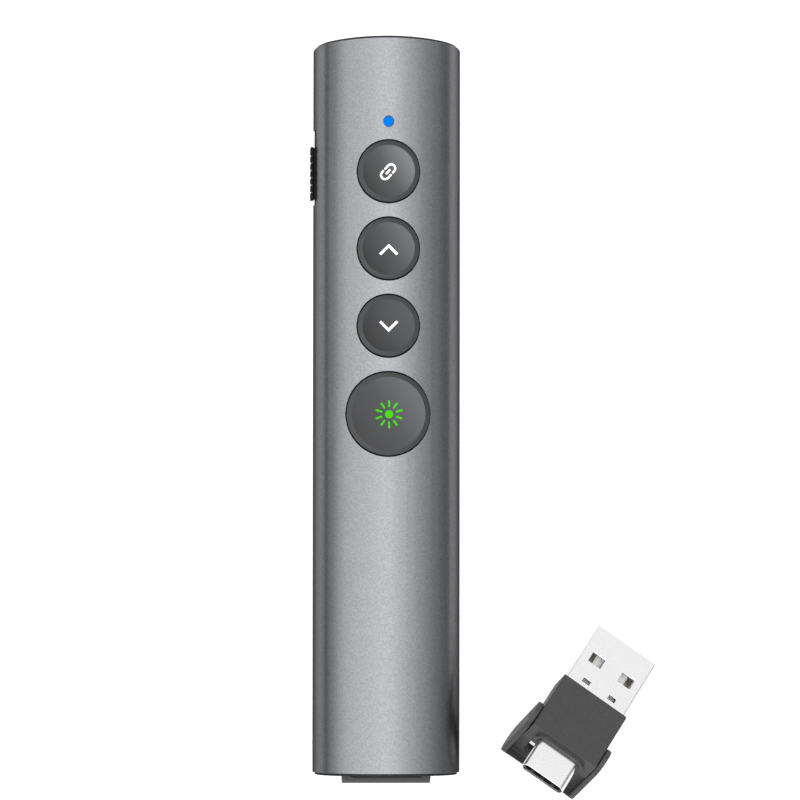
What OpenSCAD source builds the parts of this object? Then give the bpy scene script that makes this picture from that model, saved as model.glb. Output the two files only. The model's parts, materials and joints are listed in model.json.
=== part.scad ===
// Wireless presentation clicker with a stowed receiver, and the receiver taken out.
// Origin: centre of the flat rear end. +Y towards the laser, +Z out of the buttons.

/* [Body] */
// Width of the body across its flanks
body_w = 25; // [24:0.5:28]
// Length of the body along its crown
body_l = 125; // [120:1:150]
// Thickness of the body between its crowns
body_t = 17; // [16.5:0.25:19]
// Radius of the flanks as a share of half the thickness
flank_share = 0.765; // [0.72:0.005:0.8]
// Wall of the sleeve
sleeve_wall = 1.1; // [0.8:0.05:1.2]
// Thickness of the dark rim at each end
rim_t = 0.4; // [0.3:0.05:0.8]
// How far the outline of each rim stays inside the sleeve's outline
rim_inset = 0.4; // [0.1:0.05:0.5]
// Slant of the front end, in degrees
nose_slant = 12; // [0:1:14]

/* [Buttons] */
// Diameter of the link, up and down buttons as a share of the body's width
small_cap_share = 0.416; // [0.38:0.002:0.43]
// Diameter of the laser button as a share of the body's width
big_cap_share = 0.562; // [0.5:0.002:0.57]
// Gap between the edges of two buttons as a share of the body's length
cap_gap_share = 0.021; // [0.018:0.0002:0.024]
// Distance from the front end back to the link button as a share of the body's length
link_back_share = 0.1844; // [0.18:0.0002:0.19]
// Distance from the link button's edge forward to the middle of the status light
led_gap = 3.25; // [2.6:0.05:3.6]
// Diameter of the status light
led_d = 1.65; // [1.2:0.05:2.2]
// How far the caps stand out of the crown
cap_proud = 0.35; // [0.1:0.05:0.8]
// Width of the sloping ring round each dished middle
cap_ring_w = 0.8; // [0.6:0.05:1.2]
// Depth of the dished middles
dish_depth = 0.35; // [0.1:0.05:0.6]
// Travel of a button
press_travel = 0.4; // [0.2:0.05:0.5]

/* [Power slider] */
// Length of the ribbed knob
knob_l = 9; // [8:0.1:10]
// Height of the ribbed knob
knob_h = 4.4; // [4:0.1:5]
// How far the ribs stand out of the flank
knob_proud = 0.5; // [0.3:0.05:0.8]
// Number of ribs
knob_ribs = 7; // [4:1:8]
// Distance from one rib to the next
rib_pitch = 1.24; // [1.1:0.02:1.26]
// Gap between two ribs
rib_gap = 0.3; // [0.2:0.05:0.4]
// Travel of the knob
knob_travel = 2; // [1.5:0.1:2.2]

/* [Receiver] */
// Width of the USB-A shell
usb_a_w = 12; // [11.5:0.1:12.2]
// Thickness of the USB-A shell
usb_a_t = 4.5; // [4.3:0.05:4.6]
// Length of the USB-A shell outside the housing
usb_a_l = 12; // [11:0.1:13]
// Wall of the housing round the USB-A shell
housing_wall = 0.45; // [0.4:0.05:0.6]
// Length of the housing
housing_l = 11.5; // [11:0.1:13]
// Width of the USB-C shell
usb_c_w = 8.25; // [8:0.05:8.35]
// Thickness of the USB-C shell
usb_c_t = 2.4; // [2.3:0.05:2.5]
// Length of the USB-C shell outside the housing
usb_c_l = 6.2; // [5.8:0.1:6.6]
// Width of each arm of the loop handle
arm_w = 0.9; // [0.8:0.05:1.1]
// Reach of the loop from its hinge to the outside of its crossbar
loop_reach = 13.3; // [13:0.1:15]
// How far the crossbar of the stowed receiver stands out of the rear end
tab_out = 1.5; // [1:0.1:2.5]

/* [Hidden] */

$fn = 48;

// Overrun of every cut past the faces that it opens
over = 1;
// Gap of pieces that are pushed into each other and stay
seat_gap = 0.05;
// Gap between the inside of the sleeve and what slides into it
slide_gap = 0.1;
// Gap round what moves
run_gap = 0.15;

// Outline of the body: two crown arcs and two flank arcs that meet square to their radii
half_w = body_w / 2;
crown_z = body_t / 2;
flank_r = flank_share * crown_z;
flank_x = half_w - flank_r;
crown_r = (half_w * half_w + crown_z * crown_z - 2 * half_w * flank_r) / (2 * (crown_z - flank_r));
crown_centre_z = crown_z - crown_r;

// Half angle of each flank arc
flank_half_angle = atan2(-crown_centre_z, flank_x);

// Height of a crown arc at a distance x from the middle, for an outline drawn in by inset
function crown_at(x, inset) = crown_centre_z + sqrt((crown_r - inset) * (crown_r - inset) - x * x);
// Half width of that outline at a height z, on a flank arc or past its end on a crown arc
function half_at(z, inset) =
    abs(z) < (flank_r - inset) * sin(flank_half_angle)
        ? flank_x + sqrt(pow(flank_r - inset, 2) - z * z)
        : sqrt(pow(crown_r - inset, 2) - pow(abs(z) - crown_centre_z, 2));

// What lies inside the sleeve keeps this distance from the outline
core_inset = sleeve_wall + slide_gap;

// Places of the buttons along the body
small_r = small_cap_share * body_w / 2;
big_r = big_cap_share * body_w / 2;
cap_gap = cap_gap_share * body_l;
link_y = body_l - link_back_share * body_l;
up_y = link_y - 2 * small_r - cap_gap;
down_y = up_y - 2 * small_r - cap_gap;
laser_y = down_y - small_r - big_r - cap_gap;
led_y = link_y + small_r + led_gap;
// Each button: place along the body, radius
link_key = [link_y, small_r];
up_key = [up_y, small_r];
down_key = [down_y, small_r];
laser_key = [laser_y, big_r];
keys = [link_key, up_key, down_key, laser_key];

// Levels, from the crown down to the board
flange_w = 0.8;
flange_t = 0.8;
plate_edge = 0.4;
stop_z = crown_at(big_r + flange_w, core_inset) - plate_edge;
board_t = 1;
board_clear = 1;
board_top = stop_z - flange_t - press_travel - board_clear;
board_bottom = board_top - board_t;
cap_top = crown_z + cap_proud;
cap_wall = 1;
cap_roof = 1.5;
ring_fall_share = 0.2;
post_r = 1.3;
dish_steps = 8;
switch_h = 0.9;
switch_w = 5.2;
plunger_r = 1;
plunger_up = 0.5;
plunger_in = 0.3;
post_end = board_top + switch_h + plunger_up;

// Chassis tray
tray_wall = 1.2;
battery_share = 0.56;
battery_w = battery_share * body_w;
floor_z = -crown_at(battery_w / 2, core_inset + tray_wall);
cap_plug = 2.2;
nose_plug = 3;

// Nose plane: through the crown at the front end, aslant downwards and back
nose_low_y = body_l - body_t * tan(nose_slant);
tray_front = nose_low_y - rim_t - nose_plug;
tray_rear = rim_t + cap_plug;

// Receiver, in its own place: hinge of the loop at the origin, +Y towards the USB-A end
hinge_back = 2.7;
housing_w = usb_a_w + 2 * housing_wall;
housing_t = usb_a_t + 2 * housing_wall;
housing_r = 0.35;
boss_rim = 0.75;
boss_l = 0.6;
pin_r = 0.75;
pin_gap = 0.05;
pin_short = 0.1;
shell_wall = 0.3;
shell_in = 3;
shell_r = 0.4;
window_w = 2.5;
window_l = 2;
window_x = 3.05;
window_back = 5;
lock_w = 1.45;
lock_l = 0.9;
lock_x = 2.62;
lock_ahead = 1;
c_wall = 0.2;
c_in = 1.2;
loop_t = housing_t;
loop_gap = 0.15;
loop_w = housing_w + 2 * loop_gap + 2 * arm_w;
loop_rim = 1.1;
web_t = 1.2;
web_start = 4.1;
web_end = 1;
pocket_r = 1.2;
loop_window_gap = 0.25;
loop_window_w = usb_c_w + 2 * loop_window_gap;
loop_window_r = 1.5;
housing_front = -hinge_back;
housing_end = housing_front + housing_l;
usb_a_end = housing_end + usb_a_l;

// Stowed receiver: its bay, and its hinge behind the rear end
bay_gap = 0.3;
stowed_y = loop_reach - tab_out;
bay_step = stowed_y + housing_end + bay_gap;
bay_end = stowed_y + usb_a_end + bay_gap;
bay_wall = 2;
cell_y = bay_end + bay_wall + bay_gap;

// Loose receiver: leans on the edge of its USB-A end and on its loop, hung square to it
loose_x = 30.5;
loose_y = 6;
loose_turn = 35;
loop_r = loop_t / 2;
lean_long = usb_a_end;
lean_short = loop_reach - loop_r - usb_a_t / 2;
lean = atan2(lean_short, lean_long) + asin(loop_r / sqrt(lean_long * lean_long + lean_short * lean_short));
hinge_up = (loop_reach - loop_r) * cos(lean) + loop_r;

// Prism along Y from y0 to y1, its outline drawn in X and Z
module along_y(y0, y1) {
    translate([0, y1, 0]) rotate([90, 0, 0]) linear_extrude(y1 - y0) children();
}

// Prism along X from x0 to x1, its outline drawn in Y and Z
module along_x(x0, x1) {
    translate([x0, 0, 0]) rotate([90, 0, 90]) linear_extrude(x1 - x0) children();
}

// Prism upwards from z0 to z1, its outline drawn in X and Y
module upward(z0, z1) {
    translate([0, 0, z0]) linear_extrude(z1 - z0) children();
}

// Box between two corners
module block(low, high) {
    translate(low) cube(high - low);
}

// Upright round bar
module upright(x, y, r, z0, z1) {
    translate([x, y, z0]) cylinder(h = z1 - z0, r = r);
}

// Outline of the body, drawn in by inset: a disc for each flank, and each crown's disc between
// the two lines on which it meets the flanks
module oval(inset) {
    line_x = flank_x + body_w * cos(flank_half_angle);
    line_z = body_w * sin(flank_half_angle);
    union() {
        square([2 * flank_x, flank_r], center = true);
        for (side = [-1, 1]) {
            translate([side * flank_x, 0]) circle(r = flank_r - inset, $fn = 180);
            intersection() {
                translate([0, side * crown_centre_z]) circle(r = crown_r - inset, $fn = 180);
                polygon([[flank_x, 0], [line_x, side * line_z], [-line_x, side * line_z], [-flank_x, 0]]);
            }
        }
    }
}

// Bar with half-round ends in outline, w along the first axis and h along the second
module obround(w, h) {
    union() {
        square([w - h, h], center = true);
        for (side = [-1, 1]) translate([side * (w - h) / 2, 0]) circle(r = h / 2);
    }
}

// Rectangle with round corners of radius r
module soft_rect(w, h, r) {
    union() {
        square([w - 2 * r, h], center = true);
        square([w, h - 2 * r], center = true);
        for (side = [-1, 1], end = [-1, 1])
            translate([side * (w / 2 - r), end * (h / 2 - r)]) circle(r = r);
    }
}

// Everything ahead of the nose plane, moved back by the given distance
module ahead_of_nose(back) {
    translate([0, body_l - back, crown_z]) rotate([-nose_slant, 0, 0])
        block([-body_w, 0, -2 * body_t], [body_w, body_t, body_t]);
}

// Rear of the bay is as high and wide as the loop; its front takes the USB-A shell
module receiver_bay() {
    wide = loop_w + 2 * bay_gap;
    high = loop_t + 2 * bay_gap;
    narrow = usb_a_w + 2 * bay_gap;
    low = usb_a_t + 2 * bay_gap;
    block([-wide / 2, -over, -high / 2], [wide / 2, bay_step, high / 2]);
    block([-narrow / 2, 0, -low / 2], [narrow / 2, bay_end, low / 2]);
}

// Slot of the power slider, filled by a bezel with a narrow slot for the knob's neck
slot_end_gap = 0.85;
slot_l = knob_l + knob_travel + 2 * slot_end_gap;
slot_h = knob_h + 2 * run_gap;
knob_y = link_y;
slot_y = knob_y + knob_travel / 2;
plate_t = 0.8;
plate_h = knob_h + 2 * flange_w;
plate_l = knob_l + 2 * flange_w;
plate_x = half_at(plate_h / 2, core_inset) - slide_gap;
plate_in = plate_x - plate_t;
lever_w = 1.4;
lever_in = 0.4;
bezel_sink = 0.2;
neck_l = 5;
neck_h = 1.6;
pad_x = half_w - seat_gap;
pad_t = 0.15;

// Slide switch under the board, its lever towards the knob
switch_case_w = 3.6;
switch_case_l = 8.6;
switch_case_h = 2.9;
case_x = plate_in - plate_t / 2;
case_low = board_bottom - switch_case_h;

// Charge socket on its own board on the tray's floor, facing the right flank
charge_back = 11.5;
socket_recess = 0.28;
socket_w = 8.94;
socket_h = 3.2;
socket_l = 7.3;
socket_wall = 0.3;
socket_clear = 0.15;
charge_board_t = 0.8;
charge_board_l = 11;
charge_y = link_y - charge_back;
socket_z = floor_z + charge_board_t + socket_h / 2;
socket_mouth = half_at(socket_z - socket_h / 2, 0) - socket_recess;
charge_board_edge = half_at(floor_z, core_inset) - slide_gap;

// Laser module under the board
barrel_r = 3;
barrel_l = 15.5;
barrel_gap = 0.4;
barrel_z = board_bottom - barrel_gap - barrel_r;
barrel_seat = 0.9;
barrel_front = tray_front + barrel_seat;
barrel_rear = barrel_front - barrel_l;
barrel_bore = 2.2;
barrel_lip = 0.8;
barrel_lip_r = 1.2;
aperture_r = 1.6;
window_r = 2.8;
window_t = 1;
nose_depth = (crown_z - barrel_z) * tan(nose_slant);

// Screws that hold the frame and the board to the tray
screw_share = 0.272;
screw_x = screw_share * body_w;
screw_in = 2.6;
nose_room = 1.5;
frame_rear = cell_y;
frame_front = tray_front - nose_room;
screw_y_rear = frame_rear + screw_in;
screw_y_front = frame_front - screw_in;
screw_r = 0.7;
screw_head_r = 1.3;
screw_head_h = 0.9;
screw_bite = 3.5;
screw_pillar_r = 1.8;
screw_sink = 0.6;
screw_seat_z = stop_z - screw_sink;
screw_places = [
    [-screw_x, screw_y_rear], [screw_x, screw_y_rear],
    [-screw_x, screw_y_front], [screw_x, screw_y_front]
];

// Board, and the cell under it between the receiver's bay and the charge board
board_half = half_at(board_top, sleeve_wall) - slide_gap - seat_gap;
board_rear = frame_rear;
board_front = frame_front;
foam_t = 0.88;
foam_inset = 1.4;
battery_t = board_bottom - floor_z - foam_t;
battery_corner_share = 0.25;
battery_in = 6;
battery_rear = cell_y + battery_in;
lead_room = 5.7;
battery_front = charge_y - charge_board_l / 2 - lead_room;

module outer_sleeve() {
    color([0.53, 0.54, 0.56]) difference() {
        along_y(rim_t, body_l + over) oval(0);
        along_y(0, body_l + 2 * over) oval(sleeve_wall);
        ahead_of_nose(rim_t);
        for (key = keys) upright(0, key[0], key[1] + run_gap, 0, body_t);
        upright(0, led_y, led_d / 2 + seat_gap, 0, body_t);
        translate([0, slot_y, 0]) along_x(-body_w, 0) soft_rect(slot_l, slot_h, knob_proud + run_gap);
        translate([0, charge_y, socket_z]) along_x(0, body_w)
            obround(socket_w + 2 * socket_clear, socket_h + 2 * socket_clear);
    }
}

// Window seat, square to the nose plane
module window_disc(r, depth, lift) {
    translate([0, body_l - nose_depth, barrel_z]) rotate([-nose_slant, 0, 0])
        along_y(-depth, lift) circle(r = r);
}

module front_cap() {
    color([0.1, 0.1, 0.11]) difference() {
        union() {
            along_y(tray_front, body_l + over) oval(core_inset);
            difference() {
                along_y(tray_front, body_l + over) oval(rim_inset);
                behind_front_rim();
            }
        }
        ahead_of_nose(0);
        window_disc(window_r + seat_gap, window_t, over);
        translate([0, 0, barrel_z]) along_y(0, body_l) circle(r = aperture_r);
        translate([0, 0, barrel_z]) along_y(0, barrel_front + seat_gap) circle(r = barrel_r + seat_gap);
    }
}

// Everything behind the rim of the front cap
module behind_front_rim() {
    translate([0, body_l - rim_t, crown_z]) rotate([-nose_slant, 0, 0])
        block([-body_w, -body_l, -2 * body_t], [body_w, 0, body_t]);
}

module rear_cap() {
    color([0.12, 0.12, 0.13]) difference() {
        union() {
            along_y(0, rim_t) oval(rim_inset);
            along_y(rim_t, tray_rear) oval(core_inset);
        }
        receiver_bay();
    }
}

// Tray: solid round the receiver bay, open above the floor ahead of it
module chassis_tray() {
    color([0.17, 0.17, 0.18]) difference() {
        along_y(tray_rear, tray_front) oval(core_inset);
        receiver_bay();
        block([-body_w, frame_rear - bay_gap, board_bottom], [body_w, body_l, body_t]);
        difference() {
            along_y(cell_y, tray_front - tray_wall) oval(core_inset + tray_wall);
            block([-body_w, 0, -body_t], [body_w, body_l, floor_z]);
            for (place = screw_places)
                upright(place[0], place[1], screw_pillar_r, floor_z - over, board_bottom);
        }
        for (place = screw_places)
            upright(place[0], place[1], screw_r + seat_gap, board_bottom - screw_bite - seat_gap, body_t);
        translate([0, 0, barrel_z]) along_y(barrel_rear - seat_gap, body_l) circle(r = barrel_r + seat_gap);
        block([-body_w, slot_y - slot_l / 2 - flange_w, -plate_h / 2 - run_gap],
            [-case_x + run_gap, slot_y + slot_l / 2 + flange_w, body_t]);
        block([battery_w / 2, charge_y - charge_board_l / 2 - slide_gap, floor_z],
            [body_w, charge_y + charge_board_l / 2 + slide_gap, board_bottom]);
    }
}

// Frame: a plate under the crown with a round guide for each cap, on a rim that holds the board
module button_frame() {
    rim_x = board_half - tray_wall;
    color([0.2, 0.2, 0.21]) difference() {
        along_y(frame_rear, frame_front) oval(core_inset);
        block([-body_w, 0, -body_t], [body_w, body_l, board_top]);
        difference() {
            block([-rim_x, frame_rear + tray_wall, 0], [rim_x, frame_front - tray_wall, stop_z]);
            for (place = screw_places)
                upright(place[0], place[1], screw_pillar_r, 0, body_t);
        }
        for (key = keys) upright(0, key[0], key[1] + run_gap, 0, body_t);
        upright(0, led_y, led_d / 2 + seat_gap, 0, body_t);
        for (place = screw_places) {
            upright(place[0], place[1], screw_r + seat_gap, 0, body_t);
            upright(place[0], place[1], screw_head_r + seat_gap, screw_seat_z, body_t);
        }
        block([-body_w, slot_y - slot_l / 2 - flange_w, 0],
            [-plate_in + run_gap, slot_y + slot_l / 2 + flange_w, plate_h / 2 + run_gap]);
    }
}

// Button: hollow cap with a sloping ring, a dished top, a flange and a post in the middle
module button(key) {
    r = key[1];
    ring_r = r - cap_ring_w;
    ring_drop = ring_fall_share * cap_ring_w;
    dish_r = (ring_r * ring_r + dish_depth * dish_depth) / (2 * dish_depth);
    dish_half_angle = asin(ring_r / dish_r);
    dish_z = cap_top - dish_depth + dish_r;
    flange_z = stop_z - flange_t;
    hollow_top = cap_top - dish_depth - cap_roof;
    color([0.27, 0.27, 0.28]) translate([0, key[0], 0]) rotate_extrude(convexity = 4) polygon(concat(
        [
            [0, post_end],
            [post_r, post_end],
            [post_r, hollow_top],
            [r - cap_wall, hollow_top],
            [r - cap_wall, flange_z],
            [r + flange_w, flange_z],
            [r + flange_w, stop_z],
            [r, stop_z],
            [r, cap_top - ring_drop]
        ],
        [
            for (step = [dish_steps:-1:0])
                let (angle = step / dish_steps * dish_half_angle)
                [dish_r * sin(angle), dish_z - dish_r * cos(angle)]
        ]
    ));
}

module link_button() {
    button(link_key);
}

module up_button() {
    button(up_key);
}

module down_button() {
    button(down_key);
}

module laser_button() {
    button(laser_key);
}

module plunger(key) {
    color([0.75, 0.7, 0.55])
        upright(0, key[0], plunger_r, post_end - plunger_up - plunger_in, post_end);
}

module link_switch_plunger() {
    plunger(link_key);
}

module up_switch_plunger() {
    plunger(up_key);
}

module down_switch_plunger() {
    plunger(down_key);
}

module laser_switch_plunger() {
    plunger(laser_key);
}

// Four switch bodies on the board, each with a round well for its plunger
module tact_switches() {
    well_floor = post_end - plunger_up - plunger_in - press_travel - seat_gap;
    color([0.15, 0.15, 0.16]) for (key = keys) difference() {
        block([-switch_w / 2, key[0] - switch_w / 2, board_top],
            [switch_w / 2, key[0] + switch_w / 2, board_top + switch_h]);
        upright(0, key[0], plunger_r + seat_gap, well_floor, body_t);
    }
}

module main_board() {
    color([0.05, 0.3, 0.16]) difference() {
        block([-board_half, board_rear, board_bottom], [board_half, board_front, board_top]);
        for (place = screw_places)
            upright(place[0], place[1], screw_r + seat_gap, 0, body_t);
        block([-body_w, slot_y - slot_l / 2 - flange_w, 0],
            [-plate_in + run_gap, slot_y + slot_l / 2 + flange_w, body_t]);
    }
}

// Radio chip and crystal hang under the board beside the charge socket
chip_w = 5;
chip_t = 0.9;
chip_gap = 0.9;
crystal_l = 3.2;
crystal_w = 2.5;
crystal_t = 0.7;
module radio_chip() {
    color([0.08, 0.08, 0.09]) block([-chip_w / 2, charge_y - chip_w / 2, board_bottom - chip_t],
        [chip_w / 2, charge_y + chip_w / 2, board_bottom]);
}

module crystal() {
    right = -chip_w / 2 - chip_gap;
    color([0.75, 0.76, 0.78])
        block([right - crystal_w, charge_y - crystal_l / 2, board_bottom - crystal_t],
            [right, charge_y + crystal_l / 2, board_bottom]);
}

led_w = 1.6;
led_h = 0.8;
module status_led() {
    color([0.9, 0.95, 1]) block([-led_w / 2, led_y - led_w / 2, board_top],
        [led_w / 2, led_y + led_w / 2, board_top + led_h]);
}

// Light pipe from the status LED to the crown, with a low domed head
dome_share = 0.2;
module light_pipe() {
    r = led_d / 2;
    head = dome_share * r;
    dome_r = (r * r + head * head) / (2 * head);
    color([0.05, 0.45, 1]) intersection() {
        upright(0, led_y, r, board_top + led_h, body_t);
        translate([0, led_y, crown_z + head - dome_r]) sphere(r = dome_r, $fn = 96);
    }
}

module slide_switch() {
    lever_room = lever_w + knob_travel + 2 * run_gap;
    color([0.7, 0.71, 0.73]) difference() {
        block([-case_x, slot_y - switch_case_l / 2, case_low],
            [-case_x + switch_case_w, slot_y + switch_case_l / 2, board_bottom]);
        block([-case_x - over, slot_y - lever_room / 2, case_low + lever_w / 2],
            [-case_x + switch_case_w / 2, slot_y + lever_room / 2, board_bottom - lever_w / 2]);
    }
}

lever_low = case_low + lever_w / 2 + run_gap;
lever_high = board_bottom - lever_w / 2 - run_gap;
module slide_switch_lever() {
    color([0.1, 0.1, 0.11]) block([-plate_in - lever_in, knob_y - lever_w / 2, lever_low],
        [-case_x + switch_case_w / 2 - run_gap, knob_y + lever_w / 2, lever_high]);
}

// Ribbed pad over the bezel, its neck through the bezel's slot, on a plate behind the sleeve's wall
module power_slider() {
    tip_x = half_w + knob_proud;
    color([0.07, 0.07, 0.08]) difference() {
        union() {
            along_x(-tip_x, -pad_x) translate([knob_y, 0]) soft_rect(knob_l, knob_h, knob_proud);
            along_x(-pad_x - pad_t, -plate_in) translate([knob_y, 0]) obround(neck_l, neck_h);
            block([-plate_x, knob_y - plate_l / 2, -plate_h / 2],
                [-plate_in, knob_y + plate_l / 2, plate_h / 2]);
        }
        for (i = [1:knob_ribs - 1]) {
            groove_y = knob_y + (i - knob_ribs / 2) * rib_pitch - rib_gap / 2;
            block([-tip_x - over, groove_y, -body_t], [-pad_x - pad_t, groove_y + rib_gap, body_t]);
        }
        block([-plate_in - lever_in - seat_gap, knob_y - lever_w / 2 - seat_gap, lever_low - seat_gap],
            [0, knob_y + lever_w / 2 + seat_gap, lever_high + seat_gap]);
    }
}

// Bezel: plugs the slot in the sleeve, its face a little below the flank
module slider_bezel() {
    color([0.06, 0.06, 0.07]) difference() {
        intersection() {
            translate([0, slot_y, 0]) along_x(-half_w, -plate_x - run_gap)
                soft_rect(slot_l - 2 * seat_gap, slot_h - 2 * seat_gap, knob_proud);
            along_y(0, body_l) oval(bezel_sink);
        }
        translate([0, slot_y, 0]) along_x(-body_w, 0)
            obround(neck_l + knob_travel + 2 * run_gap, neck_h + 2 * run_gap);
    }
}

module laser_window() {
    color([0.2, 0.5, 0.25, 0.6]) window_disc(window_r, window_t, 0);
}

// Barrel: bored from both ends, with a narrow aperture at its front
module laser_barrel() {
    color([0.72, 0.6, 0.32]) translate([0, 0, barrel_z]) difference() {
        along_y(barrel_rear, barrel_front) circle(r = barrel_r);
        along_y(0, barrel_front - barrel_lip) circle(r = barrel_bore);
        along_y(0, body_l) circle(r = barrel_lip_r);
    }
}

lens_t = 1.2;
lens_swell = 0.4;
module laser_lens() {
    r = barrel_bore;
    face_r = (r * r + lens_swell * lens_swell) / (2 * lens_swell);
    rear = barrel_front - barrel_lip - lens_t;
    color([0.75, 0.85, 0.9, 0.6]) translate([0, 0, barrel_z]) intersection() {
        along_y(rear, barrel_front - barrel_lip) circle(r = r);
        translate([0, rear + face_r, 0]) sphere(r = face_r, $fn = 96);
    }
}

can_l = 3;
module laser_diode() {
    color([0.8, 0.78, 0.72]) translate([0, 0, barrel_z]) {
        along_y(barrel_rear, barrel_rear + can_l) circle(r = barrel_bore);
    }
}

driver_l = 6;
driver_t = 0.8;
module laser_driver_board() {
    color([0.05, 0.3, 0.16]) block([-barrel_bore, barrel_rear - driver_l, barrel_z - driver_t / 2],
        [barrel_bore, barrel_rear, barrel_z + driver_t / 2]);
}

module battery_cell() {
    color([0.72, 0.73, 0.76]) translate([0, 0, floor_z + battery_t / 2])
        along_y(battery_rear, battery_front)
            soft_rect(battery_w, battery_t, battery_corner_share * battery_t);
}

module battery_foam() {
    side = battery_w / 2 - foam_inset;
    color([0.16, 0.16, 0.17]) block([-side, battery_rear + foam_inset, floor_z + battery_t],
        [side, battery_front - foam_inset, board_bottom]);
}

module charge_board() {
    left = socket_mouth - socket_l - charge_board_t;
    color([0.05, 0.3, 0.16]) block([left, charge_y - charge_board_l / 2, floor_z],
        [charge_board_edge, charge_y + charge_board_l / 2, floor_z + charge_board_t]);
}

module charge_socket() {
    color([0.75, 0.76, 0.78]) translate([0, charge_y, socket_z]) difference() {
        along_x(socket_mouth - socket_l, socket_mouth) obround(socket_w, socket_h);
        along_x(socket_mouth - socket_l + socket_wall, body_w)
            obround(socket_w - 2 * socket_wall, socket_h - 2 * socket_wall);
    }
}

tongue_w = 6.2;
tongue_t = 0.7;
module charge_socket_tongue() {
    rear = socket_mouth - socket_l + socket_wall;
    color([0.1, 0.1, 0.11]) translate([0, charge_y, socket_z])
        block([rear, -tongue_w / 2, -tongue_t / 2], [socket_mouth - tongue_t, tongue_w / 2, tongue_t / 2]);
}

module frame_screws() {
    color([0.6, 0.6, 0.62]) for (place = screw_places) {
        upright(place[0], place[1], screw_r, board_bottom - screw_bite, screw_seat_z);
        upright(place[0], place[1], screw_head_r, screw_seat_z, screw_seat_z + screw_head_h);
    }
}

// The receiver's pieces, each in the receiver's own place
module usb_housing() {
    color([0.29, 0.29, 0.29]) difference() {
        union() {
            along_y(housing_front, housing_end) soft_rect(housing_w, housing_t, housing_r);
            along_y(housing_front - boss_l, housing_front)
                obround(usb_c_w + 2 * boss_rim, usb_c_t + 2 * boss_rim);
            along_x(-loop_w / 2 + pin_short, loop_w / 2 - pin_short) circle(r = pin_r);
        }
        along_y(housing_front + c_in, housing_end + over)
            square([usb_a_w + 2 * seat_gap, usb_a_t + 2 * seat_gap], center = true);
        along_y(housing_front - over, housing_front + 2 * c_in)
            obround(usb_c_w + 2 * seat_gap, usb_c_t + 2 * seat_gap);
    }
}

module usb_a_shell() {
    color([0.85, 0.85, 0.87]) difference() {
        along_y(housing_end - shell_in, usb_a_end) soft_rect(usb_a_w, usb_a_t, shell_r);
        along_y(0, usb_a_end + over)
            square([usb_a_w - 2 * shell_wall, usb_a_t - 2 * shell_wall], center = true);
        for (side = [-1, 1]) {
            block([side * window_x - window_w / 2, usb_a_end - window_back - window_l, -usb_a_t],
                [side * window_x + window_w / 2, usb_a_end - window_back, usb_a_t]);
            block([side * lock_x - lock_w / 2, housing_end + lock_ahead, -usb_a_t],
                [side * lock_x + lock_w / 2, housing_end + lock_ahead + lock_l, usb_a_t]);
        }
    }
}

a_tongue_t = 1.9;
a_contact_w = 1;
a_contact_t = 0.2;
a_contact_pitch = 2.5;
a_contact_short = 2;
module usb_a_tongue() {
    roof = usb_a_t / 2 - shell_wall;
    inner = usb_a_w / 2 - shell_wall;
    color([0.93, 0.93, 0.93]) block([-inner, housing_end - shell_in, -roof],
        [inner, usb_a_end - shell_wall, -roof + a_tongue_t]);
}

module usb_a_contacts() {
    base = -usb_a_t / 2 + shell_wall + a_tongue_t;
    color([0.85, 0.68, 0.3]) for (i = [-1.5, -0.5, 0.5, 1.5])
        block([i * a_contact_pitch - a_contact_w / 2, housing_end, base],
            [i * a_contact_pitch + a_contact_w / 2, usb_a_end - a_contact_short, base + a_contact_t]);
}

usb_board_t = 1.2;
module usb_board() {
    half = usb_a_w / 2 - slide_gap;
    color([0.05, 0.3, 0.16]) block([-half, housing_front + 2 * c_in, -usb_board_t / 2],
        [half, housing_end - shell_in - slide_gap, usb_board_t / 2]);
}

module usb_c_shell() {
    tip = housing_front - usb_c_l;
    color([0.85, 0.85, 0.87]) difference() {
        along_y(tip, housing_front + c_in) obround(usb_c_w, usb_c_t);
        along_y(tip - over, housing_front + c_in + over)
            obround(usb_c_w - 2 * c_wall, usb_c_t - 2 * c_wall);
    }
}

c_mouth_rim = 0.65;
c_lip = 0.2;
module usb_c_insert() {
    tip = housing_front - usb_c_l;
    color([0.05, 0.05, 0.05]) difference() {
        along_y(tip + c_lip, housing_front + c_in) obround(usb_c_w - 2 * c_wall, usb_c_t - 2 * c_wall);
        along_y(tip, housing_front) obround(usb_c_w - 2 * c_mouth_rim, usb_c_t - 2 * c_mouth_rim);
    }
}

c_spring_w = 0.7;
c_spring_t = 0.2;
c_spring_pitch = 2.1;
module usb_c_springs() {
    tip = housing_front - usb_c_l;
    base = c_mouth_rim - usb_c_t / 2;
    color([0.75, 0.75, 0.77]) for (i = [-1, 0, 1])
        block([i * c_spring_pitch - c_spring_w / 2, tip + 2 * c_lip, base],
            [i * c_spring_pitch + c_spring_w / 2, housing_front, base + c_spring_t]);
}

// Loop handle in line with the receiver: two arms with round hinge ends, a half-round crossbar
// and a thin web with a window for the USB-C plug
module usb_loop() {
    arm_x = housing_w / 2 + loop_gap;
    bar_y = -loop_reach + loop_rim;
    window_end = bar_y + web_end;
    color([0.3, 0.3, 0.3]) difference() {
        union() {
            difference() {
                translate([0, -(loop_reach - loop_r) / 2, 0]) along_x(-loop_w / 2, loop_w / 2)
                    obround(loop_reach - loop_r + loop_t, loop_t);
                upward(-loop_t, loop_t) translate([0, bar_y + loop_reach])
                    soft_rect(2 * arm_x, 2 * loop_reach, pocket_r);
            }
            block([-arm_x - loop_gap, bar_y - loop_gap, -web_t / 2],
                [arm_x + loop_gap, -web_start, web_t / 2]);
        }
        upward(-loop_t, loop_t) translate([0, window_end + loop_reach])
            soft_rect(loop_window_w, 2 * loop_reach, loop_window_r);
        along_x(-loop_w, loop_w) circle(r = pin_r + pin_gap);
    }
}

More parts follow.
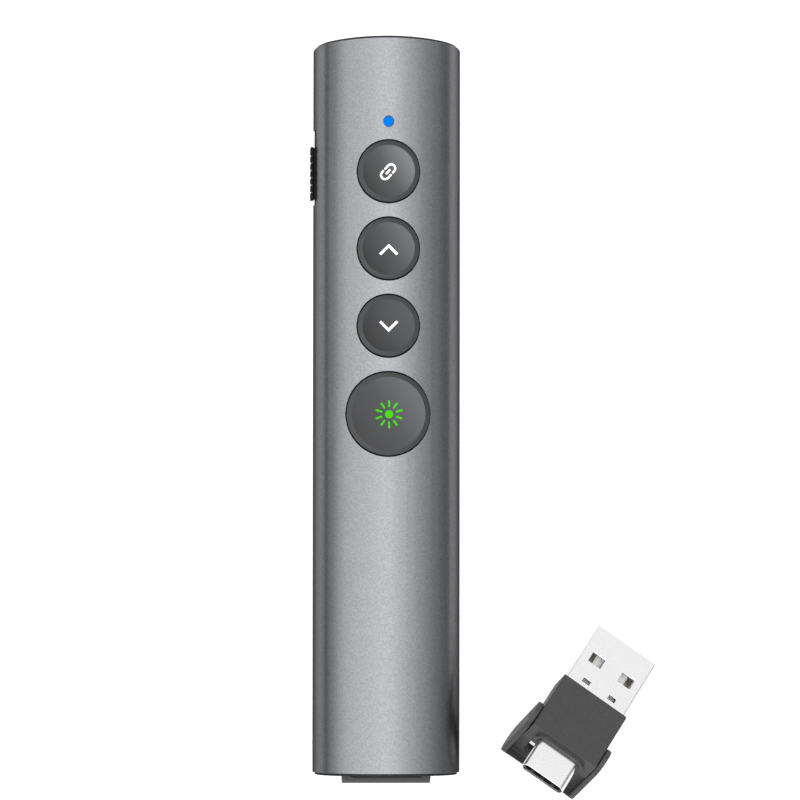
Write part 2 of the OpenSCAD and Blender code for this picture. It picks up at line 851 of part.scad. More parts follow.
// Stowed receiver: loop in line, in the rear bay
module stowed() {
    translate([0, stowed_y, 0]) children();
}

// Loose receiver: on the desk beside the rear end
module loose() {
    translate([loose_x, loose_y, hinge_up - crown_z]) rotate([0, 0, -loose_turn])
        rotate([-lean, 0, 0]) children();
}

module stowed_housing() {
    stowed() usb_housing();
}

module stowed_usb_a_shell() {
    stowed() usb_a_shell();
}

module stowed_usb_a_tongue() {
    stowed() usb_a_tongue();
}

module stowed_usb_a_contacts() {
    stowed() usb_a_contacts();
}

module stowed_receiver_board() {
    stowed() usb_board();
}

module stowed_usb_c_shell() {
    stowed() usb_c_shell();
}

module stowed_usb_c_insert() {
    stowed() usb_c_insert();
}

module stowed_usb_c_springs() {
    stowed() usb_c_springs();
}

module stowed_loop() {
    stowed() usb_loop();
}

module receiver_housing() {
    loose() usb_housing();
}

module receiver_usb_a_shell() {
    loose() usb_a_shell();
}

module receiver_usb_a_tongue() {
    loose() usb_a_tongue();
}

module receiver_usb_a_contacts() {
    loose() usb_a_contacts();
}

module receiver_board() {
    loose() usb_board();
}

module receiver_usb_c_shell() {
    loose() usb_c_shell();
}

module receiver_usb_c_insert() {
    loose() usb_c_insert();
}

module receiver_usb_c_springs() {
    loose() usb_c_springs();
}

// The loop hangs square to the receiver
module receiver_loop() {
    loose() rotate([90, 0, 0]) usb_loop();
}

outer_sleeve();
front_cap();
rear_cap();
chassis_tray();
button_frame();
link_button();
up_button();
down_button();
laser_button();
link_switch_plunger();
up_switch_plunger();
down_switch_plunger();
laser_switch_plunger();
tact_switches();
main_board();
radio_chip();
crystal();
status_led();
light_pipe();
slide_switch();
slide_switch_lever();
power_slider();
slider_bezel();
laser_window();
laser_barrel();
laser_lens();
laser_diode();
laser_driver_board();
battery_cell();
battery_foam();
charge_board();
charge_socket();
charge_socket_tongue();
frame_screws();
stowed_housing();
stowed_usb_a_shell();
stowed_usb_a_tongue();
stowed_usb_a_contacts();
stowed_receiver_board();
stowed_usb_c_shell();
stowed_usb_c_insert();
stowed_usb_c_springs();
stowed_loop();
receiver_housing();
receiver_usb_a_shell();
receiver_usb_a_tongue();
receiver_usb_a_contacts();
receiver_board();
receiver_usb_c_shell();
receiver_usb_c_insert();
receiver_usb_c_springs();
receiver_loop();
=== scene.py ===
import json
import math
import bpy
from mathutils import Matrix, Vector


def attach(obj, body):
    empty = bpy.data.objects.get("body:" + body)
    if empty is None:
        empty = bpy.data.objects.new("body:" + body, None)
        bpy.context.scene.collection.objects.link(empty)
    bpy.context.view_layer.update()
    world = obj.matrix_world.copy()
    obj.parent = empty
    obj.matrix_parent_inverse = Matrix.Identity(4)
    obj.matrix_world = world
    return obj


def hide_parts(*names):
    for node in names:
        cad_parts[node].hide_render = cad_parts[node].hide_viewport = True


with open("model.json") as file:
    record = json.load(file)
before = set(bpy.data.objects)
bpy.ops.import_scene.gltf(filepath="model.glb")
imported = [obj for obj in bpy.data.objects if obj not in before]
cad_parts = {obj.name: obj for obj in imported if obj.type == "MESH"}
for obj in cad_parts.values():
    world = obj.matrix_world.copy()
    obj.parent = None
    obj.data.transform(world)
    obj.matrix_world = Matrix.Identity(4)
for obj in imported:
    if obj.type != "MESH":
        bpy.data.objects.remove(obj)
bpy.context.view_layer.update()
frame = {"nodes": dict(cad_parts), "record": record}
print("frame loaded:", len(frame["nodes"]), "nodes")

mm = 0.001
smoothAngle = 30  # degrees, for the pieces made here


def linear(code):  # a written colour, such as a5a7aa, as the renderer's linear values
    out = []
    for i in (0, 2, 4):
        c = int(code[i:i + 2], 16) / 255
        out.append(c / 12.92 if c <= 0.04045 else ((c + 0.055) / 1.055) ** 2.4)
    return (*out, 1.0)


def selectOnly(piece):
    bpy.ops.object.select_all(action="DESELECT")
    piece.select_set(True)
    bpy.context.view_layer.objects.active = piece


def mapRange(nodes, fromLow, fromHigh, toLow=0.0, toHigh=1.0):
    spread = nodes.new("ShaderNodeMapRange")
    spread.inputs["From Min"].default_value = fromLow
    spread.inputs["From Max"].default_value = fromHigh
    spread.inputs["To Min"].default_value = toLow
    spread.inputs["To Max"].default_value = toHigh
    return spread


def mathNode(nodes, operation):
    step = nodes.new("ShaderNodeMath")
    step.operation = operation
    return step


# finishes: dark and light tone, gloss, and a grain at its real scale (per metre)
finishLooks = {
    "anodised_sleeve": dict(dark="666769", light="747577", rough=0.33, spread=0.012, metal=1.0,
                            grain=3600, bump=8e-7, mottle=240, edge=0.22),
    "cap_plastic": dict(dark="19191b", light="202123", rough=0.5, spread=0.06, grain=2600,
                        bump=3e-6, mottle=160, spec=0.15),
    "tray_plastic": dict(dark="2a2a2c", light="343437", rough=0.55, spread=0.06, grain=2200,
                         bump=5e-6, mottle=150),
    "button_plastic": dict(dark="3a3b3d", light="404143", rough=0.45, spread=0.03, grain=3800,
                           bump=8e-7, mottle=220, spec=0.25),
    "slider_plastic": dict(dark="101011", light="171718", rough=0.6, spread=0.06, grain=3000,
                           bump=3e-6, mottle=200, spec=0.05),
    "receiver_plastic": dict(dark="343434", light="3b3b3b", rough=0.5, spread=0.05, grain=3000,
                             bump=3e-6, mottle=260, spec=0.22),
    "plug_steel": dict(dark="e2e2e3", light="ededee", rough=0.2, spread=0.06, metal=1.0,
                       grain=900, stretch=(1, 14, 14), bump=6e-7, mottle=320),
    "insulator_black": dict(dark="0d0d0e", light="171718", rough=0.4, spread=0.06, grain=2500,
                            bump=2e-6, mottle=300),
    "insulator_white": dict(dark="e6e6e4", light="f4f4f2", rough=0.38, spread=0.05, grain=2500,
                            bump=2e-6, mottle=300),
    "contact_gold": dict(dark="8a8474", light="a29c8c", rough=0.35, spread=0.05, metal=1.0,
                         grain=1800, bump=1e-6, mottle=500),
    "board_green": dict(dark="0d4a28", light="146036", rough=0.34, spread=0.08, grain=900,
                        bump=4e-6, mottle=260),
    "chip_black": dict(dark="141416", light="202023", rough=0.5, spread=0.06, grain=3200,
                       bump=3e-6, mottle=240),
    "switch_metal": dict(dark="a9abad", light="c3c5c7", rough=0.3, spread=0.07, metal=1.0,
                         grain=1600, bump=1.5e-6, mottle=300),
    "barrel_brass": dict(dark="a98a44", light="c4a45c", rough=0.3, spread=0.06, metal=1.0,
                         grain=1500, stretch=(1, 20, 1), bump=1.5e-6, mottle=220),
    "window_glass": dict(dark="1f6a35", light="2b7d42", rough=0.06, spread=0.02, grain=600,
                         bump=2e-7, mottle=120, glass=0.85),
    "light_blue": dict(dark="010810", light="020c18", rough=0.45, spread=0.04, grain=1500,
                       bump=5e-7, mottle=200, glow="0485fa", spec=0.0),
    "cell_foil": dict(dark="9fa1a5", light="b8babd", rough=0.33, spread=0.1, metal=0.9,
                      grain=420, bump=1.2e-5, mottle=90),
    "foam_grey": dict(dark="2e2e30", light="434346", rough=0.9, spread=0.05, grain=1400,
                      bump=6e-5, mottle=300),
    "screw_steel": dict(dark="8d8e91", light="a8a9ac", rough=0.28, spread=0.06, metal=1.0,
                        grain=1400, bump=1e-6, mottle=400),
    # the marks are print with a painted glow: their emission is painted light, as they are no lamp
    "mark_white": dict(dark="f0f0ef", light="fafaf9", rough=0.5, spread=0.04, grain=2600,
                       bump=1e-6, mottle=300, glow="5a5a5a"),
    "mark_green": dict(dark="2f910a", light="349608", rough=0.5, spread=0.04, grain=2600,
                       bump=1e-6, mottle=300, glow="197c04", spec=0.0),
}
# span of both noises that is used, their detail, and the least roughness
pattern = dict(low=0.3, high=0.7, grainDetail=2.0, mottleDetail=3.0, leastRough=0.02)


def makeFinish(name, look):
    finish = bpy.data.materials.new(name)
    finish.use_nodes = True
    nodes, links = finish.node_tree.nodes, finish.node_tree.links
    shader = nodes["Principled BSDF"]
    shader.inputs["Metallic"].default_value = look.get("metal", 0.0)
    shader.inputs["Specular IOR Level"].default_value = look.get("spec", 0.5)
    edge = look.get("edge", 1.0)
    shader.inputs["Specular Tint"].default_value = (edge, edge, edge, 1)
    if "glass" in look:
        shader.inputs["Transmission Weight"].default_value = look["glass"]
    if "glow" in look:
        shader.inputs["Emission Color"].default_value = linear(look["glow"])
        shader.inputs["Emission Strength"].default_value = 1.0
    place = nodes.new("ShaderNodeTexCoord")
    turn = nodes.new("ShaderNodeMapping")
    turn.inputs["Scale"].default_value = look.get("stretch", (1, 1, 1))
    links.new(place.outputs["Object"], turn.inputs["Vector"])
    grain = nodes.new("ShaderNodeTexNoise")  # the fine grain of the surface
    grain.inputs["Scale"].default_value = look["grain"]
    grain.inputs["Detail"].default_value = pattern["grainDetail"]
    links.new(turn.outputs["Vector"], grain.inputs["Vector"])
    mottle = nodes.new("ShaderNodeTexNoise")  # slow changes of gloss
    mottle.inputs["Scale"].default_value = look["mottle"]
    mottle.inputs["Detail"].default_value = pattern["mottleDetail"]
    links.new(place.outputs["Object"], mottle.inputs["Vector"])
    tone = nodes.new("ShaderNodeValToRGB")
    if "across" in look:  # painted light and shade: tones that change along one heading over the piece, roughened by the grain
        across = look["across"]
        centre = nodes.new("ShaderNodeMapping")
        centre.vector_type = "TEXTURE"
        centre.inputs["Location"].default_value = (0, across["middle"] * mm, 0)
        centre.inputs["Rotation"].default_value = (0, 0, math.radians(across["heading"]))
        centre.inputs["Scale"].default_value = (across["reach"] * mm,) * 3
        links.new(place.outputs["Object"], centre.inputs["Vector"])
        parts = nodes.new("ShaderNodeSeparateXYZ")
        links.new(centre.outputs["Vector"], parts.inputs[0])
        shift = mathNode(nodes, "MULTIPLY_ADD")
        shift.inputs[1].default_value = across["ripple"]
        links.new(grain.outputs["Fac"], shift.inputs[0])
        links.new(parts.outputs["X"], shift.inputs[2])
        spot = mapRange(nodes, -1 + across["ripple"] / 2, 1 + across["ripple"] / 2)
        links.new(shift.outputs[0], spot.inputs["Value"])
        links.new(spot.outputs["Result"], tone.inputs["Fac"])
        stops = tone.color_ramp.elements
        for i, code in enumerate(across["tones"]):
            stop = stops[i] if i < 2 else stops.new(1.0)
            stop.position = i / (len(across["tones"]) - 1)
            stop.color = linear(code)
    else:
        tone.color_ramp.elements[0].position = pattern["low"]
        tone.color_ramp.elements[0].color = linear(look["dark"])
        tone.color_ramp.elements[1].position = pattern["high"]
        tone.color_ramp.elements[1].color = linear(look["light"])
        links.new(grain.outputs["Fac"], tone.inputs["Fac"])
    links.new(tone.outputs["Color"], shader.inputs["Base Color"])
    gloss = mapRange(nodes, pattern["low"], pattern["high"],
                     max(pattern["leastRough"], look["rough"] - look["spread"]),
                     look["rough"] + look["spread"])
    links.new(mottle.outputs["Fac"], gloss.inputs["Value"])
    links.new(gloss.outputs["Result"], shader.inputs["Roughness"])
    bump = nodes.new("ShaderNodeBump")
    bump.inputs["Strength"].default_value = 1.0
    bump.inputs["Distance"].default_value = look["bump"]
    links.new(grain.outputs["Fac"], bump.inputs["Height"])
    links.new(bump.outputs["Normal"], shader.inputs["Normal"])
    return finish


finishes = {name: makeFinish(name, look) for name, look in finishLooks.items()}
print("finishes made:", len(finishes))

nodeFinish = {
    "anodised_sleeve": ["outer_sleeve"],
    "cap_plastic": ["front_cap", "rear_cap"],
    "tray_plastic": ["chassis_tray", "button_frame"],
    "button_plastic": ["link_button", "up_button", "down_button", "laser_button"],
    "slider_plastic": ["power_slider", "slider_bezel"],
    "receiver_plastic": ["stowed_housing", "stowed_loop", "receiver_housing", "receiver_loop"],
    "plug_steel": ["stowed_usb_a_shell", "stowed_usb_c_shell", "receiver_usb_a_shell",
                   "receiver_usb_c_shell", "charge_socket"],
    "insulator_black": ["stowed_usb_c_insert", "receiver_usb_c_insert", "charge_socket_tongue",
                        "slide_switch_lever"],
    "insulator_white": ["stowed_usb_a_tongue", "receiver_usb_a_tongue"],
    "contact_gold": ["stowed_usb_a_contacts", "receiver_usb_a_contacts", "link_switch_plunger",
                     "up_switch_plunger", "down_switch_plunger", "laser_switch_plunger"],
    "board_green": ["main_board", "charge_board", "laser_driver_board", "stowed_receiver_board",
                    "receiver_board"],
    "chip_black": ["radio_chip", "tact_switches"],
    "switch_metal": ["slide_switch", "crystal", "stowed_usb_c_springs", "receiver_usb_c_springs"],
    "barrel_brass": ["laser_barrel", "laser_diode"],
    "window_glass": ["laser_window", "laser_lens"],
    "light_blue": ["light_pipe", "status_led"],
    "cell_foil": ["battery_cell"],
    "foam_grey": ["battery_foam"],
    "screw_steel": ["frame_screws"],
}
finishOf = {node: name for name, group in nodeFinish.items() for node in group}
bodyOf = {node: body for body, group in frame["record"]["behaviour"]["bodies"].items() for node in group}
for node, thing in frame["nodes"].items():
    thing.data.materials.clear()
    thing.data.materials.append(finishes[finishOf[node]])

buttons = {  # middle along the body, radius, in mm
    "link_key": (101.95, 5.2),
    "up_key": (88.925, 5.2),
    "down_key": (75.9, 5.2),
    "laser_key": (61.05, 7.025),
}
dish = dict(top=8.85, depth=0.35, ring=0.8)  # rim's height, hollow, width of the sloping ring, in mm
# painted light and shade: the dished middle goes from painted shade at its lower left to a painted highlight
# at its upper right, and the ring from lighter at its left to painted shade at its right
# painted shade on the rings of the small buttons: lighter at the left, darker at the right
smallRingPaintedShade = ["2e2f30", "2c2d2e", "242526"]
paintedButtonShading = {
    "link_key": (["141516", "38393a", "646568"], smallRingPaintedShade),
    "up_key": (["0f0f10", "323335", "515255"], smallRingPaintedShade),
    "down_key": (["0d0d0e", "2a2b2d", "393a3d"], smallRingPaintedShade),
    "laser_key": (["222223", "323335", "4d4e51"], ["2e2f30", "2e2f30", "1f2021"]),
}
# how the painted light and shade is laid: the grain's ripple, and the heading in degrees of the painted
# gradient on the dish and on the ring
paintedShadeLook = dict(ripple=0.1, dishHeading=30, ringHeading=10)
paintedShadeButtonFinishes = {}
for body, (middle, radius) in buttons.items():
    pair = []
    for part, tones in zip(("dish", "ring"), paintedButtonShading[body]):
        look = dict(finishLooks["button_plastic"])
        # the painted light and shade laid over this button's dish or ring
        look["across"] = dict(middle=middle, reach=radius, heading=paintedShadeLook[part + "Heading"],
                              ripple=paintedShadeLook["ripple"], tones=tones)
        pair.append(makeFinish(f"button_{part}_{body}", look))
    paintedShadeButtonFinishes[body] = pair

# pieces whose edges are broken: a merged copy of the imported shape, bevelled
softEdges = {  # width of the broken edge in mm, steps, smoothing angle in degrees
    "outer_sleeve": (0.12, 3, 36),
    "front_cap": (0.15, 3, 36),
    "rear_cap": (0.15, 3, 36),
    "link_button": (0.1, 6, 15),
    "up_button": (0.1, 6, 15),
    "down_button": (0.1, 6, 15),
    "laser_button": (0.1, 6, 15),
    "power_slider": (0.12, 3, 36),
    "slider_bezel": (0.08, 3, 36),
    "stowed_housing": (0.08, 3, 36),
    "receiver_housing": (0.08, 3, 36),
    "stowed_loop": (0.2, 4, 36),
    "receiver_loop": (0.2, 4, 36),
    "stowed_usb_a_shell": (0.05, 3, 36),
    "receiver_usb_a_shell": (0.05, 3, 36),
    "stowed_usb_c_shell": (0.04, 3, 36),
    "receiver_usb_c_shell": (0.04, 3, 36),
}
edgeRules = dict(merge=2e-6, flat=0.3, sharp=38)  # metres, degrees, degrees


def brokenEdges(node, width, steps, smooth):
    source = frame["nodes"][node]
    piece = source.copy()
    piece.data = source.data.copy()
    piece.name = node + "_finished"
    for key in list(piece.keys()):
        del piece[key]
    piece.parent = None
    bpy.context.scene.collection.objects.link(piece)
    piece.matrix_world = Matrix.Identity(4)
    selectOnly(piece)
    bpy.ops.object.mode_set(mode="EDIT")
    bpy.ops.mesh.select_all(action="SELECT")
    bpy.ops.mesh.customdata_custom_splitnormals_clear()
    bpy.ops.mesh.remove_doubles(threshold=edgeRules["merge"])
    bpy.ops.mesh.dissolve_limited(angle_limit=math.radians(edgeRules["flat"]))
    bpy.ops.object.mode_set(mode="OBJECT")
    bevel = piece.modifiers.new("brokenEdges", "BEVEL")
    bevel.width = width * mm
    bevel.segments = steps
    bevel.limit_method = "ANGLE"
    bevel.angle_limit = math.radians(edgeRules["sharp"])
    bevel.use_clamp_overlap = False
    bevel.miter_outer = "MITER_ARC"
    bpy.ops.object.modifier_apply(modifier=bevel.name)
    bpy.ops.object.shade_smooth_by_angle(angle=math.radians(smooth))
    weigh = piece.modifiers.new("weighNormals", "WEIGHTED_NORMAL")
    weigh.keep_sharp = True
    bpy.ops.object.modifier_apply(modifier=weigh.name)
    if bodyOf[node] in buttons:  # the ring and the side get a material of their own, with painted shade growing from left to right; the dished middle keeps painted light and shade from lower left to upper right
        y0, r = buttons[bodyOf[node]]
        piece.data.materials.clear()
        for finish in paintedShadeButtonFinishes[bodyOf[node]]:
            piece.data.materials.append(finish)
        for face in piece.data.polygons:
            x, y = face.center.x / mm, face.center.y / mm - y0
            if math.hypot(x, y) > r - dish["ring"]:
                face.material_index = 1
    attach(piece, bodyOf[node])
    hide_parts(node)


for node, (width, steps, smooth) in softEdges.items():
    brokenEdges(node, width, steps, smooth)
print("edges broken on", len(softEdges), "pieces")

# skirt of the power slider: fills the gap behind its ribbed pad and follows the bezel's curve, in mm
skirt = dict(outer=-12.55, inner=-11.9, half=4.3, middle=101.95, high=2.0, flank=-6.0, round=6.33,
             facets=256)
bpy.ops.object.select_all(action="DESELECT")
bpy.ops.mesh.primitive_cylinder_add(vertices=skirt["facets"], radius=skirt["round"] * mm,
                                    depth=3 * skirt["half"] * mm, rotation=(math.pi / 2, 0, 0),
                                    location=(skirt["flank"] * mm, skirt["middle"] * mm, 0))
cutter = bpy.context.active_object
bpy.ops.mesh.primitive_cube_add(size=1, location=((skirt["outer"] + skirt["inner"]) / 2 * mm,
                                                  skirt["middle"] * mm, 0))
sliderSkirt = bpy.context.active_object
sliderSkirt.name = "slider_skirt"
sliderSkirt.scale = ((skirt["inner"] - skirt["outer"]) * mm, 2 * skirt["half"] * mm, 2 * skirt["high"] * mm)
bpy.ops.object.transform_apply(location=True, rotation=True, scale=True)
cut = sliderSkirt.modifiers.new("cut", "BOOLEAN")
cut.operation = "DIFFERENCE"
cut.solver = "EXACT"
cut.object = cutter
bpy.ops.object.modifier_apply(modifier=cut.name)
bpy.data.objects.remove(cutter)
selectOnly(sliderSkirt)
bpy.ops.object.shade_smooth_by_angle(angle=math.radians(smoothAngle))
sliderSkirt.data.materials.append(finishes["slider_plastic"])
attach(sliderSkirt, "power_key")
print("slider skirt made")

# marks on the buttons: flat patches laid into the dished middles, drawn on squares of 1/5.9 mm
mark = dict(lift=0.012, thick=0.02, corner=0.02, cornerSteps=4, square=1 / 5.9)


def patch(outline, corner):  # a flat face of the given outline, its corners rounded
    bpy.ops.object.select_all(action="DESELECT")
    bpy.ops.mesh.primitive_circle_add(vertices=len(outline), radius=mm, fill_type="NGON")
    piece = bpy.context.active_object
    for vertex, (x, y) in zip(piece.data.vertices, outline):
        vertex.co = (x * mm, y * mm, 0)
    bpy.ops.object.mode_set(mode="EDIT")
    bpy.ops.mesh.select_all(action="SELECT")
    if corner:
        bpy.ops.mesh.bevel(offset=corner * mm, segments=mark["cornerSteps"], affect="VERTICES")
    bpy.ops.mesh.select_all(action="SELECT")
    bpy.ops.mesh.quads_convert_to_tris(ngon_method="BEAUTY")
    bpy.ops.mesh.subdivide(number_cuts=1)
    bpy.ops.object.mode_set(mode="OBJECT")
    return piece


def layInDish(pieces, name, body, finish, shift):
    bpy.ops.object.select_all(action="DESELECT")
    for piece in pieces:
        piece.select_set(True)
    bpy.context.view_layer.objects.active = pieces[0]
    if len(pieces) > 1:
        bpy.ops.object.join()
    piece = pieces[0]
    piece.name = name
    y0, r = buttons[body]
    ring = r - dish["ring"]
    ball = (ring * ring + dish["depth"] ** 2) / (2 * dish["depth"])
    for vertex in piece.data.vertices:
        x, y = vertex.co.x / mm + shift[0], vertex.co.y / mm + shift[1]
        z = dish["top"] - dish["depth"] + ball - math.sqrt(ball * ball - x * x - y * y)
        vertex.co = (x * mm, (y0 + y) * mm, (z + mark["lift"]) * mm)
    thick = piece.modifiers.new("ink", "SOLIDIFY")
    thick.thickness = mark["thick"] * mm
    thick.offset = 1
    selectOnly(piece)
    bpy.ops.object.modifier_apply(modifier=thick.name)
    bpy.ops.object.mode_set(mode="EDIT")
    bpy.ops.mesh.select_all(action="SELECT")
    bpy.ops.mesh.normals_make_consistent(inside=False)
    bpy.ops.object.mode_set(mode="OBJECT")
    bpy.ops.object.shade_smooth_by_angle(angle=math.radians(smoothAngle))
    piece.data.materials.append(finishes[finish])
    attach(piece, body)


def turned(points, degrees):
    c, s = math.cos(math.radians(degrees)), math.sin(math.radians(degrees))
    return [(x * c - y * s, x * s + y * c) for x, y in points]


def scaled(points):
    return [(x * mark["square"], y * mark["square"]) for x, y in points]


def arc(cx, cy, r, start, end, count):
    return [(cx + r * math.cos(math.radians(start + (end - start) * i / count)),
             cy + r * math.sin(math.radians(start + (end - start) * i / count)))
            for i in range(count + 1)]


# chain link: two hooks and a bar on a rising line
link = dict(out=5.05, inner=3.1, middle=4.5, longEnd=-0.4, shortEnd=2.0, bar=3.0, barHalf=0.95,
            rise=48, steps=16, shift=(-0.1, -0.1))
hook = ([(link["longEnd"], link["out"])] + arc(link["middle"], 0, link["out"], 90, -90, link["steps"])
        + [(link["shortEnd"], -link["out"]), (link["shortEnd"], -link["inner"])]
        + arc(link["middle"], 0, link["inner"], -90, 90, link["steps"])
        + [(link["longEnd"], link["inner"])])
bar = [(-link["bar"], -link["barHalf"]), (link["bar"], -link["barHalf"]),
       (link["bar"], link["barHalf"]), (-link["bar"], link["barHalf"])]
layInDish([patch(scaled(turned(hook, link["rise"])), 0),
           patch(scaled(turned(hook, link["rise"] + 180)), 0),
           patch(scaled(turned(bar, link["rise"])), mark["corner"])],
          "link_mark", "link_key", "mark_white", link["shift"])

# chevrons: top and half width of the upper one, and its stroke measured straight up
chevron = dict(top=5.0, half=9.4, stroke=3.5, upShift=(0.03, -0.1), downShift=(0.03, -0.19))
foot, step = chevron["top"] - chevron["half"], chevron["stroke"] / 2
roof = [(0, chevron["top"]), (-chevron["half"], foot), (step - chevron["half"], foot - step),
        (0, chevron["top"] - chevron["stroke"]), (chevron["half"] - step, foot - step),
        (chevron["half"], foot)]
layInDish([patch(scaled(roof), mark["corner"])], "up_mark", "up_key", "mark_white",
          chevron["upShift"])
layInDish([patch(scaled(turned(roof, 180)), mark["corner"])], "down_mark", "down_key",
          "mark_white", chevron["downShift"])

# ten rays round a dot
rays = dict(count=10, start=7.1, end=14.0, half=1.0, corner=0.16, dot=4.05, steps=32, shift=(0.12, -0.06))
ray = [(-rays["half"], rays["start"]), (rays["half"], rays["start"]),
       (rays["half"], rays["end"]), (-rays["half"], rays["end"])]
dot = arc(0, 0, rays["dot"], 0, 360 - 360 / rays["steps"], rays["steps"] - 1)
burst = [patch(scaled(dot), 0)]
burst += [patch(scaled(turned(ray, 360 / rays["count"] * i)), rays["corner"]) for i in range(rays["count"])]
layInDish(burst, "laser_mark", "laser_key", "mark_green", rays["shift"])
print("marks laid on the buttons")

# floor: white paper that keeps the shadow; level in mm, half and the two Y in metres
floorLook = dict(level=-8.5, half=1.5, glow=0.72, diffuse="b4b4b4", bounce="e8e8e8",
                 rearY=0, frontY=0.12, rearGlow=0.42, frontGlow=0.7)
bpy.ops.object.select_all(action="DESELECT")
bpy.ops.mesh.primitive_plane_add(size=2 * floorLook["half"], location=(0, 0, floorLook["level"] * mm))
floor = bpy.context.active_object
floor.name = "floor"
paper = bpy.data.materials.new("paper")
paper.use_nodes = True
nodes, links = paper.node_tree.nodes, paper.node_tree.links
nodes.remove(nodes["Principled BSDF"])
seen = nodes.new("ShaderNodeBsdfDiffuse")
seen.inputs["Color"].default_value = linear(floorLook["diffuse"])
glow = nodes.new("ShaderNodeEmission")
spot = nodes.new("ShaderNodeTexCoord")
apart = nodes.new("ShaderNodeSeparateXYZ")
# mirrored in the metal, the paper is dimmer at the rear end
fall = mapRange(nodes, floorLook["rearY"], floorLook["frontY"], floorLook["rearGlow"], floorLook["frontGlow"])
strength = nodes.new("ShaderNodeMix")
strength.inputs["A"].default_value = floorLook["glow"]
both = nodes.new("ShaderNodeAddShader")
plain = nodes.new("ShaderNodeBsdfDiffuse")
plain.inputs["Color"].default_value = linear(floorLook["bounce"])
way = nodes.new("ShaderNodeLightPath")
first = mathNode(nodes, "MAXIMUM")
second = mathNode(nodes, "MAXIMUM")
pick = nodes.new("ShaderNodeMixShader")
links.new(spot.outputs["Object"], apart.inputs[0])
links.new(apart.outputs["Y"], fall.inputs["Value"])
links.new(way.outputs["Is Glossy Ray"], strength.inputs["Factor"])
links.new(fall.outputs["Result"], strength.inputs["B"])
links.new(strength.outputs["Result"], glow.inputs["Strength"])
links.new(way.outputs["Is Camera Ray"], first.inputs[0])
links.new(way.outputs["Is Glossy Ray"], first.inputs[1])
links.new(first.outputs[0], second.inputs[0])
links.new(way.outputs["Is Transmission Ray"], second.inputs[1])
links.new(second.outputs[0], pick.inputs["Fac"])
links.new(seen.outputs["BSDF"], both.inputs[0])
links.new(glow.outputs["Emission"], both.inputs[1])
links.new(plain.outputs["BSDF"], pick.inputs[1])
links.new(both.outputs["Shader"], pick.inputs[2])
links.new(pick.outputs["Shader"], nodes["Material Output"].inputs["Surface"])
floor.data.materials.append(paper)

# light: a studio sky, bright overhead between two dark sides, and a soft sun from the lower left;
# the sky's stops are degrees from straight up towards the right, and brightness
sky = [(-180, 0.265), (-95, 0.044), (-77, 0.044), (-70, 0.075), (-64, 0.283), (-58, 0.54),
       (-51, 0.664), (-40, 0.664), (-30, 0.681), (-18, 0.752), (-6, 0.92), (2, 1.0), (8, 0.947),
       (15, 0.779), (22, 0.637), (30, 0.531), (38, 0.425), (46, 0.336), (54, 0.265), (62, 0.195),
       (70, 0.115), (76, 0.071), (85, 0.053), (95, 0.053), (180, 0.265)]
skyLevel = dict(bands=4.18, ends=1.05, fadeStart=0.3, fadeEnd=0.45)
world = bpy.data.worlds.new("studio")
bpy.context.scene.world = world
world.use_nodes = True
nodes, links = world.node_tree.nodes, world.node_tree.links
nodes.clear()
where = nodes.new("ShaderNodeTexCoord")
split = nodes.new("ShaderNodeSeparateXYZ")
links.new(where.outputs["Generated"], split.inputs[0])
swing = mathNode(nodes, "ARCTAN2")
links.new(split.outputs["X"], swing.inputs[0])
links.new(split.outputs["Z"], swing.inputs[1])
along = mapRange(nodes, -math.pi, math.pi)
links.new(swing.outputs[0], along.inputs["Value"])
bands = nodes.new("ShaderNodeValToRGB")
stops = bands.color_ramp.elements
for i, (angle, level) in enumerate(sky):
    stop = stops[i] if i < 2 else stops.new(1.0)
    stop.position = (angle + 180) / 360
    stop.color = (level, level, level, 1)
links.new(along.outputs["Result"], bands.inputs["Fac"])
reach = mathNode(nodes, "ABSOLUTE")
links.new(split.outputs["Y"], reach.inputs[0])
fade = mapRange(nodes, skyLevel["fadeStart"], skyLevel["fadeEnd"])
fade.interpolation_type = "SMOOTHSTEP"
links.new(reach.outputs[0], fade.inputs["Value"])
bandLight = nodes.new("ShaderNodeBackground")
bandLight.inputs["Strength"].default_value = skyLevel["bands"]
links.new(bands.outputs["Color"], bandLight.inputs["Color"])
endLight = nodes.new("ShaderNodeBackground")
endLight.inputs["Color"].default_value = (1, 1, 1, 1)
endLight.inputs["Strength"].default_value = skyLevel["ends"]
blend = nodes.new("ShaderNodeMixShader")
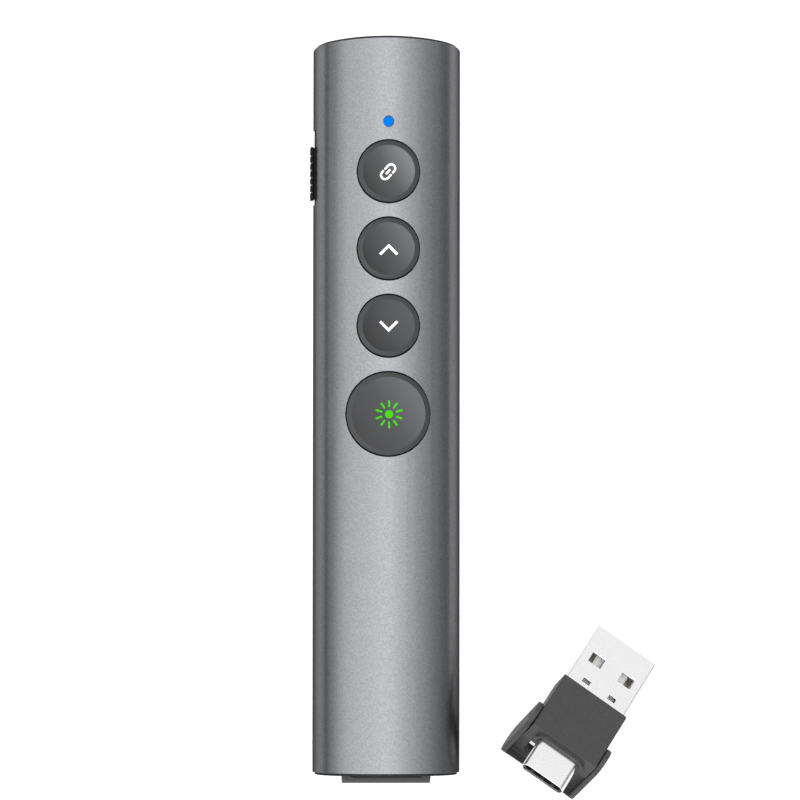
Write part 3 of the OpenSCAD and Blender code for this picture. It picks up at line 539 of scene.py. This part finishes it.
links.new(fade.outputs["Result"], blend.inputs["Fac"])
links.new(bandLight.outputs["Background"], blend.inputs[1])
links.new(endLight.outputs["Background"], blend.inputs[2])
white = nodes.new("ShaderNodeBackground")
white.inputs["Color"].default_value = (1, 1, 1, 1)
way = nodes.new("ShaderNodeLightPath")
choose = nodes.new("ShaderNodeMixShader")
links.new(way.outputs["Is Camera Ray"], choose.inputs["Fac"])
links.new(blend.outputs["Shader"], choose.inputs[1])
links.new(white.outputs["Background"], choose.inputs[2])
out = nodes.new("ShaderNodeOutputWorld")
links.new(choose.outputs["Shader"], out.inputs["Surface"])

lamp = dict(tilt=38, heading=225, angle=24, power=0.5, height=0.5)
bpy.ops.object.light_add(type="SUN", location=(0, 0, lamp["height"]))
softSun = bpy.context.active_object
softSun.data.angle = math.radians(lamp["angle"])
softSun.data.energy = lamp["power"]
tilt, heading = math.radians(lamp["tilt"]), math.radians(lamp["heading"])
towards = Vector((math.sin(tilt) * math.cos(heading), math.sin(tilt) * math.sin(heading), math.cos(tilt)))
softSun.rotation_mode = "QUATERNION"
softSun.rotation_quaternion = (-towards).to_track_quat("-Z", "Y")

# camera, high over the desk with a long lens; place and aim in mm, near and far in metres
view = dict(place=(-35.5745, 46.6429, 855.9932), aim=(2.3285, 63.5542, 0.0), roll=0.0012,
            lens=226.772, sensor=36, near=0.05, far=10)
bpy.ops.object.camera_add()
camera = bpy.context.active_object
place, aim = Vector(view["place"]) * mm, Vector(view["aim"]) * mm
ahead = (aim - place).normalized()
side = ahead.cross(Vector((0, 1, 0))).normalized()
up = side.cross(ahead)
c, s = math.cos(view["roll"]), math.sin(view["roll"])
axes = Matrix((c * side + s * up, c * up - s * side, -ahead)).transposed().to_4x4()
camera.matrix_world = Matrix.Translation(place) @ axes
camera.data.lens = view["lens"]
camera.data.sensor_width = view["sensor"]
camera.data.clip_start, camera.data.clip_end = view["near"], view["far"]
bpy.context.scene.camera = camera
bpy.context.scene.view_settings.view_transform = "Standard"
print("floor, light and camera set")
